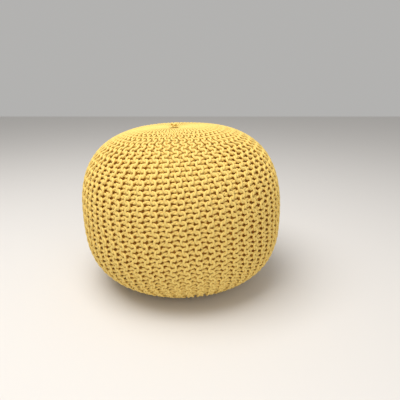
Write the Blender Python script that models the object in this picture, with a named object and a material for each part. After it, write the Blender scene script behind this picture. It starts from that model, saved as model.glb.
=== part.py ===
"""Knitted pouf: a round floor cushion in a cover of thick knitted cord.

The filled cover is one closed solid. It has a low crown, sides that draw in
towards the floor, a flat foot where it rests, and the ribs of the knit, which
run from the gather at the top to the gather at the bottom. The end of the cord
that draws up the top gather is tied in a small knot, which is a second solid.

Metres, +Z up. The origin is on the floor, under the middle of the outline.
"""

from math import cos, exp, pi, radians, sin, sqrt

import bmesh
import bpy
from mathutils import Matrix, Vector

# Driving dimensions of the filled cover
WIDTH = 0.500
CROWN_HEIGHT = 0.395
WIDEST_LEVEL = 0.184
FOOT_CUT = 0.004
CROWN_POWER = 2.75
BASE_POWER = 3.00

# The knit: its axis leans a little, because the cover sits askew on its filling
KNIT_LEAN = radians(5.0)
RIB_COUNT = 56
RIB_DEPTH = 0.0035
RIB_FULL_RADIUS = 0.110

# The gather that closes the crown
GATHER_FOLDS = 28
GATHER_FOLD_DEPTH = 0.0018
GATHER_FOLD_REACH = 0.075
DIMPLE_DEPTH = 0.005
DIMPLE_RADIUS = 0.024

# The knot of the closing cord
KNOT_WIDTH = 0.020
KNOT_HEIGHT = 0.0105
KNOT_SEAT_RADIUS = 0.0145
KNOT_GAP = 0.0003
KNOT_SIDES = 24
KNOT_RINGS = 8

# Mesh density. Rings are counted in spans of polar angle from the top gather,
# in degrees, and lie evenly within a span.
POINTS_PER_RIB = 2
RING_SPANS = [
    # (from, to, rings)
    (0.0, 3.7, 1),
    (3.7, 18.7, 5),
    (18.7, 34.7, 4),
    (34.7, 146.7, 24),
    (146.7, 178.7, 5),
]

# Where the filling bulges or slumps. Azimuth is from +X towards +Y and
# elevation is up from the widest level, both in degrees. Height is in metres,
# and spread is the bulge's angular radius in degrees.
UNEVENNESS = [
    # (azimuth, elevation, height, spread)
    (0.0, -50.0, 0.0045, 20.0),
    (0.0, 20.0, -0.0045, 16.0),
    (0.0, 62.0, 0.0022, 14.0),
    (180.0, 4.0, 0.0032, 16.0),
    (180.0, -33.0, -0.0038, 16.0),
    (180.0, 62.0, -0.0022, 16.0),
    (120.0, 15.0, 0.0030, 24.0),
    (60.0, -15.0, -0.0030, 24.0),
    (240.0, -10.0, 0.0020, 26.0),
]

COVER_COLOUR = (0.79, 0.55, 0.15, 1.0)
KNOT_COLOUR = (0.82, 0.60, 0.20, 1.0)
CORD_ROUGHNESS = 0.85

RADIUS = WIDTH / 2
LEAN = Matrix.Rotation(-KNIT_LEAN, 3, "Y")


def clear_scene():
    """Remove whatever objects the open file holds."""
    for scene_object in list(bpy.data.objects):
        bpy.data.objects.remove(scene_object, do_unlink=True)


def direction(azimuth, elevation):
    """Unit vector for angles in radians."""
    level = cos(elevation)
    return Vector((level * cos(azimuth), level * sin(azimuth), sin(elevation)))


def unevenness(toward):
    """How far the filling pushes the surface out in one direction."""
    total = 0.0
    for azimuth, elevation, height, spread in UNEVENNESS:
        angle = toward.angle(direction(radians(azimuth), radians(elevation)))
        total += height * exp(-(angle / radians(spread)) ** 2)
    return total


def filled_distance(toward):
    """Distance from the middle to the smooth filled surface in one direction."""
    level_share = sqrt(toward.x ** 2 + toward.y ** 2) / RADIUS
    if toward.z >= 0.0:
        power = CROWN_POWER
        height_share = toward.z / (CROWN_HEIGHT - WIDEST_LEVEL)
    else:
        power = BASE_POWER
        height_share = -toward.z / (WIDEST_LEVEL + FOOT_CUT)
    plain = (level_share ** power + height_share ** power) ** (-1.0 / power)
    return plain + unevenness(toward)


def knit_relief(polar, turn, ring_radius):
    """How far a point lies in from the smooth surface, through ribs and folds."""
    rib = 0.5 - 0.5 * cos(RIB_COUNT * turn)
    relief = RIB_DEPTH * rib * min(1.0, ring_radius / RIB_FULL_RADIUS)
    if polar < pi / 2:
        fold = 0.5 - 0.5 * cos(GATHER_FOLDS * turn)
        fade = exp(-(ring_radius / GATHER_FOLD_REACH) ** 2)
        relief += GATHER_FOLD_DEPTH * fold * fade
        relief += DIMPLE_DEPTH * exp(-(ring_radius / DIMPLE_RADIUS) ** 2)
    return relief


def cover_point(polar, turn):
    """Point of the cover at a polar angle from the gather and a turn about it."""
    toward = LEAN @ direction(turn, pi / 2 - polar)
    distance = filled_distance(toward)
    ring_radius = distance * sin(polar)
    distance -= knit_relief(polar, turn, ring_radius)
    point = toward * distance
    point.z = max(0.0, point.z + WIDEST_LEVEL)
    return point


def polar_angles():
    """Ring angles from the top gather to the bottom one."""
    angles = []
    for first, last, rings in RING_SPANS:
        step = (last - first) / rings
        angles += [radians(first + step * (ring + 1)) for ring in range(rings)]
    return angles


def cover_points():
    """Rings of points, then the two points that close the ends."""
    sides = RIB_COUNT * POINTS_PER_RIB
    rings = []
    for polar in polar_angles():
        rings.append([cover_point(polar, 2 * pi * side / sides) for side in range(sides)])
    return rings, cover_point(0.0, 0.0), cover_point(pi, 0.0)


def level_knot_seat(rings, top):
    """Press the middle of the gather flat, where the knot sits."""
    for ring in rings:
        for point in ring:
            if sqrt((point.x - top.x) ** 2 + (point.y - top.y) ** 2) < KNOT_SEAT_RADIUS:
                if point.z > WIDEST_LEVEL:
                    point.z = top.z


def centre_outline(rings, ends):
    """Move the points so that the outline's middle is over the origin."""
    points = [point for ring in rings for point in ring]
    shift_x = -(max(p.x for p in points) + min(p.x for p in points)) / 2
    shift_y = -(max(p.y for p in points) + min(p.y for p in points)) / 2
    for point in points + ends:
        point.x += shift_x
        point.y += shift_y


def make_material(name, colour):
    """Matt cotton in one colour."""
    material = bpy.data.materials.new(name)
    material.use_nodes = True
    shader = material.node_tree.nodes["Principled BSDF"]
    shader.inputs["Base Color"].default_value = colour
    shader.inputs["Roughness"].default_value = CORD_ROUGHNESS
    shader.inputs["Metallic"].default_value = 0.0
    return material


def object_from_rings(name, rings, top, bottom, material):
    """Closed solid from stacked rings, listed top to bottom, and its two ends."""
    mesh = bpy.data.meshes.new(name)
    shape = bmesh.new()
    loops = [[shape.verts.new(point) for point in ring] for ring in rings]
    top_vertex = shape.verts.new(top)
    bottom_vertex = shape.verts.new(bottom)
    sides = len(rings[0])
    for side in range(sides):
        after = (side + 1) % sides
        shape.faces.new((top_vertex, loops[0][side], loops[0][after]))
        shape.faces.new((bottom_vertex, loops[-1][after], loops[-1][side]))
        for upper, lower in zip(loops, loops[1:]):
            shape.faces.new((upper[side], lower[side], lower[after], upper[after]))
    bmesh.ops.triangulate(shape, faces=shape.faces[:])
    shape.to_mesh(mesh)
    shape.free()
    mesh.shade_smooth()
    mesh.set_sharp_from_angle(angle=radians(40.0))
    mesh.materials.append(material)
    made = bpy.data.objects.new(name, mesh)
    bpy.context.collection.objects.link(made)
    return made


def make_cover():
    """The filled cover. Returns the point that the knot sits on."""
    rings, top, bottom = cover_points()
    level_knot_seat(rings, top)
    centre_outline(rings, [top, bottom])
    material = make_material("knitted_cord", COVER_COLOUR)
    object_from_rings("filled_cover", rings, top, bottom, material)
    return top


def make_knot(seat):
    """The tied end of the closing cord: a small round bun with a flat underside."""
    rings = []
    for ring in range(KNOT_RINGS):
        angle = pi / 2 * (ring + 1) / KNOT_RINGS
        radius = KNOT_WIDTH / 2 * sin(angle) ** 0.8
        height = KNOT_HEIGHT * (0.3 + 0.7 * cos(angle))
        rings.append([(radius * cos(2 * pi * side / KNOT_SIDES),
                       radius * sin(2 * pi * side / KNOT_SIDES),
                       height) for side in range(KNOT_SIDES)])
    foot_radius = 0.8 * KNOT_WIDTH / 2
    rings.append([(foot_radius * cos(2 * pi * side / KNOT_SIDES),
                   foot_radius * sin(2 * pi * side / KNOT_SIDES),
                   0.0) for side in range(KNOT_SIDES)])
    material = make_material("closing_cord", KNOT_COLOUR)
    knot = object_from_rings("closing_knot", rings, (0, 0, KNOT_HEIGHT), (0, 0, 0), material)
    knot.location = (seat.x, seat.y, seat.z + KNOT_GAP)


def main():
    clear_scene()
    seat = make_cover()
    make_knot(seat)


main()
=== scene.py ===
"""Looks of the knitted pouf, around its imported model.

The cover is knitted here cord by cord. It is garter stitch worked from side to
side: every course of cord runs from the gather at the crown, down the side, to
the gather under the foot. Knit and purl courses alternate, so each pair makes
one rib. The loops of one repeat are settled first, as springy cords that push
each other apart, and then laid all over the filled shape.

Metres, +Z up, in the frame of the model.
"""

from math import cos, pi, radians, sin

import bpy
import numpy as np
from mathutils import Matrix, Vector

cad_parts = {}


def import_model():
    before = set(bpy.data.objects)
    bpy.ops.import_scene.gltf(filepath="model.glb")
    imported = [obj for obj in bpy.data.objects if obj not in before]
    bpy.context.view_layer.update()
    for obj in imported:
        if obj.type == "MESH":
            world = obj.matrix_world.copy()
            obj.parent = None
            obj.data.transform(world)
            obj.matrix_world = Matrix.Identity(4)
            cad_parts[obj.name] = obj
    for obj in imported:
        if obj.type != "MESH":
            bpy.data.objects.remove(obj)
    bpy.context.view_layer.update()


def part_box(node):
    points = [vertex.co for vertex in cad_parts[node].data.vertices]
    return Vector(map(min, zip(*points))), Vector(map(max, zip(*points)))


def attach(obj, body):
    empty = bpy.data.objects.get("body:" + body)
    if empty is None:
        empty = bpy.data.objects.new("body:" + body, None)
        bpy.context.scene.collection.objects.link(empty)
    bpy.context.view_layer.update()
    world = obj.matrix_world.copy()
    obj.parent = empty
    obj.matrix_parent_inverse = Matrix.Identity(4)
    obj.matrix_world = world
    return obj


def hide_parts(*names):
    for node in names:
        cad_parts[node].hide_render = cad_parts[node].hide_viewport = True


# The filled shape, as in the model's source
WIDTH = 0.500
CROWN_HEIGHT = 0.395
WIDEST_LEVEL = 0.184
FOOT_CUT = 0.004
CROWN_POWER = 2.75
BASE_POWER = 3.00
KNIT_LEAN = radians(5.0)
DIMPLE_DEPTH = 0.005
DIMPLE_RADIUS = 0.024
UNEVENNESS = [
    # (azimuth, elevation, height, spread), in degrees and metres
    (0.0, -50.0, 0.0045, 20.0),
    (0.0, 20.0, -0.0045, 16.0),
    (0.0, 62.0, 0.0022, 14.0),
    (180.0, 4.0, 0.0032, 16.0),
    (180.0, -33.0, -0.0038, 16.0),
    (180.0, 62.0, -0.0022, 16.0),
    (120.0, 15.0, 0.0030, 24.0),
    (60.0, -15.0, -0.0030, 24.0),
    (240.0, -10.0, 0.0020, 26.0),
]
RADIUS = WIDTH / 2

# The knit
RIBS = 56
COURSES = 2 * RIBS
STITCHES = 32
CORD = 0.0057
LOOP_LENGTH = 0.076
LOOP_POINTS = 18
CORD_SIDES = 6
RELIEF = 0.50
RIB_SAG = 0.40
CORD_FLATNESS = 0.80
CORD_TENSION = 3.0
GATHER_START = 0.009
PANELS = 8

# Mesh of the padding under the knit
PADDING_RINGS = 72
PADDING_SIDES = 144
PADDING_INSET = 0.0185
PADDING_LOWEST = 0.004

# The knot of the closing cord
KNOT_CORD = 0.0052


def unit(azimuth, elevation):
    """Unit vectors for angles in radians."""
    azimuth, elevation = np.broadcast_arrays(azimuth, elevation)
    level = np.cos(elevation)
    return np.stack([level * np.cos(azimuth), level * np.sin(azimuth), np.sin(elevation)], -1)


def filled_surface(polar, turn):
    """Points of the filled shape, by polar angle from the gather and turn about it."""
    leaned = unit(turn, pi / 2 - polar)
    x = leaned[..., 0] * cos(KNIT_LEAN) - leaned[..., 2] * sin(KNIT_LEAN)
    z = leaned[..., 0] * sin(KNIT_LEAN) + leaned[..., 2] * cos(KNIT_LEAN)
    toward = np.stack([x, leaned[..., 1], z], -1)
    upper = toward[..., 2] >= 0.0
    power = np.where(upper, CROWN_POWER, BASE_POWER)
    rise = np.where(upper, CROWN_HEIGHT - WIDEST_LEVEL, WIDEST_LEVEL + FOOT_CUT)
    level_share = np.hypot(toward[..., 0], toward[..., 1]) / RADIUS
    height_share = np.abs(toward[..., 2]) / rise
    distance = (level_share ** power + height_share ** power) ** (-1.0 / power)
    for azimuth, elevation, height, spread in UNEVENNESS:
        bulge = unit(np.array(radians(azimuth)), np.array(radians(elevation)))
        angle = np.arccos(np.clip(toward @ bulge, -1.0, 1.0))
        distance = distance + height * np.exp(-(angle / radians(spread)) ** 2)
    near_gather = np.where(polar < pi / 2, distance * np.sin(polar), 1.0)
    distance = distance - DIMPLE_DEPTH * np.exp(-(near_gather / DIMPLE_RADIUS) ** 2)
    points = toward * distance[..., None]
    points[..., 2] += WIDEST_LEVEL
    return points


def surface_normals(polar, turn):
    """Outward normals of the filled shape."""
    step = 1e-3
    polar = np.clip(polar, 2 * step, pi - 2 * step)
    along = filled_surface(polar + step, turn) - filled_surface(polar - step, turn)
    across = filled_surface(polar, turn + step) - filled_surface(polar, turn - step)
    normals = np.cross(along, across)
    return normals / np.linalg.norm(normals, axis=-1, keepdims=True)


def outline_shift():
    """The move that puts the middle of the outline over the origin."""
    polar, turn = np.meshgrid(np.linspace(0.0, pi, 241), np.linspace(0.0, 2 * pi, 449))
    points = filled_surface(polar, turn)
    middle = (points.max(axis=(0, 1)) + points.min(axis=(0, 1))) / 2
    return np.array([-middle[0], -middle[1], 0.0])


# ---------------------------------------------------------------- the loops


def settle_loops(stitch, course, cord, loop_length, half_points, steps=700):
    """Half loops of a knit and a purl course, settled against their neighbours.

    Returns an array (2, half_points + 1, 3): along the course, across it from
    its own middle line, and outwards. Cords of this repeat and of the repeats
    round it push each other apart, and each cord resists bending.
    """
    stitch, course, length = stitch / cord, course / cord, loop_length / cord
    phase = np.linspace(0.0, pi, half_points + 1)
    shape = []
    for side in (1.0, -1.0):
        along = stitch * (phase / (2 * pi) + 0.11 * np.sin(2 * phase))
        out = -side * (0.94 * np.cos(phase) + 0.28 * np.cos(3 * phase))
        shape.append(np.stack([along, -course * np.cos(phase), out], 1))
    shape = np.stack(shape)
    speed = np.zeros_like(shape)
    piece = length / (2 * half_points)
    reach = int(np.ceil(1.3 / piece)) + 1
    arc_here = np.arange(half_points + 1)
    for _ in range(steps):
        push = np.zeros_like(shape)
        cloud, arc, row = neighbour_cloud(shape, stitch, course, half_points)
        for yarn in (0, 1):
            here = shape[yarn] + np.array([0.0, yarn * course, 0.0])
            apart = here[:, None, :] - cloud[None]
            distance = np.sqrt((apart ** 2).sum(2)) + 1e-9
            own = (row[None] == yarn) & (np.abs(arc[None] - arc_here[:, None]) < reach)
            overlap = np.where(~own & (distance < 1.0), 1.0 - distance, 0.0)
            push[yarn] += ((overlap / distance)[..., None] * apart).sum(1) * piece
            push[yarn] += cord_forces(shape[yarn], stitch, piece)
        speed = 0.9 * speed + 0.12 * push
        speed[:, 0, 0] = 0.0
        speed[:, -1, 0] = 0.0
        shape = shape + speed
    if not np.isfinite(shape).all():
        raise ValueError("the loops did not settle, so the knit has no shape")
    return shape * cord


def whole_loops(half, stitch):
    """A whole loop from its first half, mirrored about the loop's head."""
    mirrored = half[:, -2:0:-1].copy()
    mirrored[..., 0] = stitch - mirrored[..., 0]
    return np.concatenate([half, mirrored], 1)


def neighbour_cloud(shape, stitch, course, half_points):
    """Every cord point near one repeat, with its place along its cord and its row."""
    whole = whole_loops(shape, stitch)
    points, arcs, rows = [], [], []
    for yarn in (0, 1):
        for stitches_over in (-1, 0, 1):
            for repeats_over in (-2, -1, 0, 1, 2):
                row = 2 * repeats_over + yarn
                move = np.array([stitches_over * stitch, row * course, 0.0])
                points.append(whole[yarn] + move)
                arcs.append(np.arange(2 * half_points) + stitches_over * 2 * half_points)
                rows.append(np.full(2 * half_points, row))
    return np.concatenate(points), np.concatenate(arcs), np.concatenate(rows)


def cord_forces(half, stitch, piece):
    """Stretch and bending forces on the points of a half loop."""
    before = half[1:3][::-1].copy()
    before[:, 0] = -before[:, 0]
    after = half[-3:-1][::-1].copy()
    after[:, 0] = stitch - after[:, 0]
    run = np.concatenate([before, half, after])
    steps = np.diff(run, axis=0)
    lengths = np.linalg.norm(steps, axis=1, keepdims=True)
    pull = (lengths - piece) * steps / lengths
    bend = run[:-2] - 2 * run[1:-1] + run[2:]
    force = np.zeros_like(run)
    force[:-1] += CORD_TENSION * pull
    force[1:] -= CORD_TENSION * pull
    force[:-2] -= bend
    force[1:-1] += 2 * bend
    force[2:] -= bend
    return force[2:-2]


# ---------------------------------------------------------------- the cover


def wander(polar, turn, seed, size, waves, count=14):
    """A smooth field over the surface, the same each run: how the hand knit wanders."""
    draw = np.random.default_rng(seed)
    place = unit(turn, pi / 2 - polar)
    total = np.zeros(np.shape(polar))
    for _ in range(count):
        axis = draw.normal(size=3)
        axis = axis / np.linalg.norm(axis) * waves * draw.uniform(0.6, 1.4)
        total = total + np.sin(place @ axis + draw.uniform(0.0, 2 * pi))
    return size * total / np.sqrt(count / 2)


def knit_paths(shift):
    """Middle line, outward normal and cord radius of every course, as arrays."""
    table = np.linspace(0.0, pi, 500)
    turns = 2 * pi * (np.arange(COURSES) + 0.5) / COURSES
    meridians = filled_surface(table[None, :], turns[:, None])
    steps = np.linalg.norm(np.diff(meridians, axis=1), axis=2)
    arcs = np.concatenate([np.zeros((COURSES, 1)), np.cumsum(steps, axis=1)], axis=1)
    stitch = (arcs[:, -1].mean() - 2 * GATHER_START) / STITCHES
    widest_course = pi * WIDTH / COURSES

    widths = np.array([0.42, 0.6, 0.8, 1.0]) * widest_course
    loops = np.stack([
        whole_loops(settle_loops(stitch, width, CORD, LOOP_LENGTH, LOOP_POINTS // 2), stitch)
        for width in widths])

    index = np.arange(STITCHES * LOOP_POINTS)
    number, point = index // LOOP_POINTS, index % LOOP_POINTS
    paths, normals, radii, runs = [], [], [], []
    for course in range(COURSES):
        arc = arcs[course]
        scale = (arc[-1] - 2 * GATHER_START) / (stitch * STITCHES)
        rough = np.interp(GATHER_START + scale * stitch * index / LOOP_POINTS, arc, table)
        half = pi / COURSES
        left = filled_surface(rough, np.full_like(rough, turns[course] - half))
        right = filled_surface(rough, np.full_like(rough, turns[course] + half))
        width = np.linalg.norm(right - left, axis=1)
        held = np.clip(width, widths[0], widths[-1])
        local = np.empty((len(index), 3))
        for axis in range(3):
            columns = loops[:, course % 2, :, axis]
            for place in range(LOOP_POINTS):
                pick = point == place
                local[pick, axis] = np.interp(held[pick], widths, columns[:, place])
        squeeze = width / held
        out = local[:, 2] * RELIEF * np.clip(squeeze, 0.25, 1.0) ** 0.5
        along = GATHER_START + scale * (stitch * number + local[:, 0]) + RIB_SAG * out
        polar = np.interp(along, arc, table)
        turn = turns[course] + local[:, 1] / held * 2 * pi / COURSES
        polar = polar + wander(polar, turn, 11, 0.0065, 6.0) + wander(polar, turn, 12, 0.0035, 22.0)
        ring = np.maximum(width * COURSES / (2 * pi), 0.05)
        turn = turn + (wander(polar, turn, 13, 0.0018, 7.0)
                       + wander(polar, turn, 14, 0.0009, 24.0)) / ring
        radius = CORD / 2 * np.clip(width / (0.62 * widest_course), 0.12, 1.0) ** 0.5
        normal = surface_normals(polar, turn)
        crest = loops[-1, :, :, 2].max() * RELIEF + CORD / 2
        middle = filled_surface(polar, turn) + normal * (out - crest)[:, None] + shift
        paths.append(middle)
        normals.append(normal)
        radii.append(radius)
        runs.append(np.linalg.norm(np.diff(middle, axis=0, prepend=middle[:1]), axis=1).cumsum())
    return np.array(paths), np.array(normals), np.array(radii), np.array(runs)


def tube_points(path, normal, radius, sides):
    """Rings of points round a path, turned so that a ring's start faces outwards."""
    tangent = np.gradient(path, axis=0)
    tangent /= np.linalg.norm(tangent, axis=1, keepdims=True)
    side = np.cross(tangent, normal)
    side /= np.linalg.norm(side, axis=1, keepdims=True)
    outward = np.cross(side, tangent)
    angle = np.linspace(0.0, 2 * pi, sides, endpoint=False)
    ring = (CORD_FLATNESS * outward[:, None, :] * np.cos(angle)[None, :, None]
            + side[:, None, :] * np.sin(angle)[None, :, None])
    return path[:, None, :] + ring * radius[:, None, None]


def tube_faces(rings, sides):
    """Quads between the rings of one tube, and its two end faces."""
    ring = np.arange(rings - 1)[:, None] * sides
    here = np.arange(sides)[None, :]
    after = (here + 1) % sides
    quads = np.stack([ring + here, ring + sides + here, ring + sides + after, ring + after], -1)
    ends = [list(range(sides)), [(rings - 1) * sides + k for k in reversed(range(sides))]]
    return quads.reshape(-1, 4), ends


def mesh_object(name, points, faces, material, smooth=True):
    """A new object from points and faces."""
    mesh = bpy.data.meshes.new(name)
    mesh.from_pydata(points, [], faces)
    mesh.polygons.foreach_set("use_smooth", [smooth] * len(mesh.polygons))
    mesh.materials.append(material)
    made = bpy.data.objects.new(name, mesh)
    bpy.context.collection.objects.link(made)
    return made


def add_cord_layer(made, along, around):
    """Store where each point lies: metres along its cord, and its turn round it."""
    layer = made.data.attributes.new("cord_place", "FLOAT_VECTOR", "POINT")
    values = np.stack([along, np.cos(around), np.sin(around)], -1)
    layer.data.foreach_set("vector", values.astype(np.float32).ravel())


def tube_object(name, tubes, material):
    """One object from several tubes: each is (path, normals, radii, run lengths)."""
    points, faces, along, around = [], [], [], []
    offset = 0
    for path, normal, radius, run in tubes:
        ring = tube_points(path, normal, radius, CORD_SIDES)
        ring[..., 2] = np.maximum(ring[..., 2], 0.0)
        quads, ends = tube_faces(len(path), CORD_SIDES)
        points.append(ring.reshape(-1, 3))
        faces += (quads + offset).tolist()
        faces += [[corner + offset for corner in end] for end in ends]
        along.append(np.repeat(run, CORD_SIDES))
        around.append(np.tile(np.linspace(0, 2 * pi, CORD_SIDES, endpoint=False), len(path)))
        offset += len(path) * CORD_SIDES
    made = mesh_object(name, np.concatenate(points).tolist(), faces, material)
    add_cord_layer(made, np.concatenate(along), np.concatenate(around))
    return made


def make_knit(shift, material):
    """The knitted cover, in panels of neighbouring courses."""
    paths, normals, radii, runs = knit_paths(shift)
    share = COURSES // PANELS
    panels = []
    for panel in range(PANELS):
        rows = range(panel * share, (panel + 1) * share)
        tubes = [(paths[row], normals[row], radii[row], runs[row]) for row in rows]
        made = tube_object(f"knit_panel_{panel + 1}", tubes, material)
        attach(made, "root")
        panels.append(made)
    return panels


def make_padding(shift, material):
    """The stuffed body that shows through the holes of the knit, coloured as painted shade."""
    polar = np.linspace(0.03, pi - 0.03, PADDING_RINGS)
    turn = np.linspace(0.0, 2 * pi, PADDING_SIDES, endpoint=False)
    polar, turn = np.meshgrid(polar, turn, indexing="ij")
    points = filled_surface(polar, turn) - surface_normals(polar, turn) * PADDING_INSET + shift
    points[..., 2] = np.maximum(points[..., 2], PADDING_LOWEST)
    ring = np.arange(PADDING_RINGS - 1)[:, None] * PADDING_SIDES
    here = np.arange(PADDING_SIDES)[None, :]
    after = (here + 1) % PADDING_SIDES
    faces = np.stack([ring + here, ring + PADDING_SIDES + here,
                      ring + PADDING_SIDES + after, ring + after], -1).reshape(-1, 4).tolist()
    last = (PADDING_RINGS - 1) * PADDING_SIDES
    faces.append(list(reversed(range(PADDING_SIDES))))
    faces.append([last + side for side in range(PADDING_SIDES)])
    made = mesh_object("padding", points.reshape(-1, 3).tolist(), faces, material)
    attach(made, "root")
    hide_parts("filled_cover")
    return made


def make_closing_knot(material):
    """The tied end of the cord that draws up the gather: a small pulled knot."""
    low, high = (np.array(corner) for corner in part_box("closing_knot"))
    middle = (low + high) / 2
    size = high - low
    count = 96
    turn = np.linspace(0.0, 2 * pi, count + 1)
    across = (size[0] - KNOT_CORD) / 2
    path = np.stack([
        across * (np.sin(turn) + 2 * np.sin(2 * turn)) / 3,
        across * (np.cos(turn) - 2 * np.cos(2 * turn)) / 3,
        -(size[2] - KNOT_CORD) / 2 * np.sin(3 * turn)], 1) + middle
    up = np.tile([0.05, 0.02, 1.0], (count + 1, 1))
    run = np.linspace(0.0, 0.09, count + 1)
    made = tube_object("closing_cord_knot", [(path, up, np.full(count + 1, KNOT_CORD / 2), run)], material)
    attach(made, "root")
    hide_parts("closing_knot")
    return made


# ---------------------------------------------------------------- materials


def principled(name, colour, roughness):
    """A new material of one plain colour and roughness."""
    material = bpy.data.materials.new(name)
    material.use_nodes = True
    shader = material.node_tree.nodes["Principled BSDF"]
    shader.inputs["Base Color"].default_value = (*colour, 1.0)
    shader.inputs["Roughness"].default_value = roughness
    return material


def cord_material():
    """Plain matt yellow, for the cotton cord and its knot."""
    return principled("yellow_cotton_cord", (0.83, 0.60, 0.17), 0.82)


def painted_shade_padding_material():
    """A deeper plain yellow: painted shade that stands for the shade between the loops."""
    # Painted shade: the padding is coloured darker than the cord to stand for the shade seen through the
    # knit.
    return principled("padding_painted_shade", (0.62, 0.30, 0.035), 0.9)


def floor_material():
    """Plain pale floor."""
    return principled("pale_floor", (0.72, 0.70, 0.68), 0.9)


# ---------------------------------------------------------------- the stage


def make_camera():
    """Camera low in front of the pouf and a little to its right, looking down."""
    focal_pixels = 390.0
    pitch = radians(18.0)
    camera = bpy.data.cameras.new("camera")
    camera.sensor_width = 36.0
    camera.lens = focal_pixels * 36.0 / 400.0
    made = bpy.data.objects.new("camera", camera)
    made.location = (0.186 * RADIUS, -3.853 * RADIUS, WIDEST_LEVEL + 1.322 * RADIUS)
    made.rotation_euler = (pi / 2 - pitch, 0.0, 0.0)
    bpy.context.collection.objects.link(made)
    bpy.context.scene.camera = made


def area_light(name, place, aim, size, power, colour):
    """A square soft light at a place, turned to face a point."""
    light = bpy.data.lights.new(name, "AREA")
    light.size = size
    light.energy = power
    light.color = colour
    made = bpy.data.objects.new(name, light)
    made.location = place
    toward = np.array(aim) - np.array(place)
    made.rotation_euler = (
        np.arccos(-toward[2] / np.linalg.norm(toward)), 0.0, np.arctan2(-toward[0], toward[1]))
    bpy.context.collection.objects.link(made)


def make_stage():
    """Floor, soft studio lights and an even surround."""
    bpy.ops.mesh.primitive_plane_add(size=8.0, location=(0.0, 0.0, 0.0))
    floor = bpy.context.object
    floor.name = "floor"
    floor.data.materials.append(floor_material())
    middle = (0.0, 0.0, 0.2)
    area_light("overhead_light", (-0.5, -0.4, 2.2), middle, 1.6, 48.0, (1.0, 0.98, 0.95))
    area_light("front_fill", (0.9, -2.4, 1.2), middle, 1.8, 16.0, (1.0, 0.98, 0.96))
    world = bpy.data.worlds.new("surround")
    world.use_nodes = True
    background = world.node_tree.nodes["Background"]
    background.inputs["Color"].default_value = (1.0, 0.99, 0.97, 1.0)
    background.inputs["Strength"].default_value = 0.45
    bpy.context.scene.world = world
    bpy.context.scene.view_settings.view_transform = "Standard"


def main():
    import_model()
    shift = outline_shift()
    cord = cord_material()
    make_knit(shift, cord)
    make_padding(shift, painted_shade_padding_material())
    make_closing_knot(cord)
    make_camera()
    make_stage()


main()
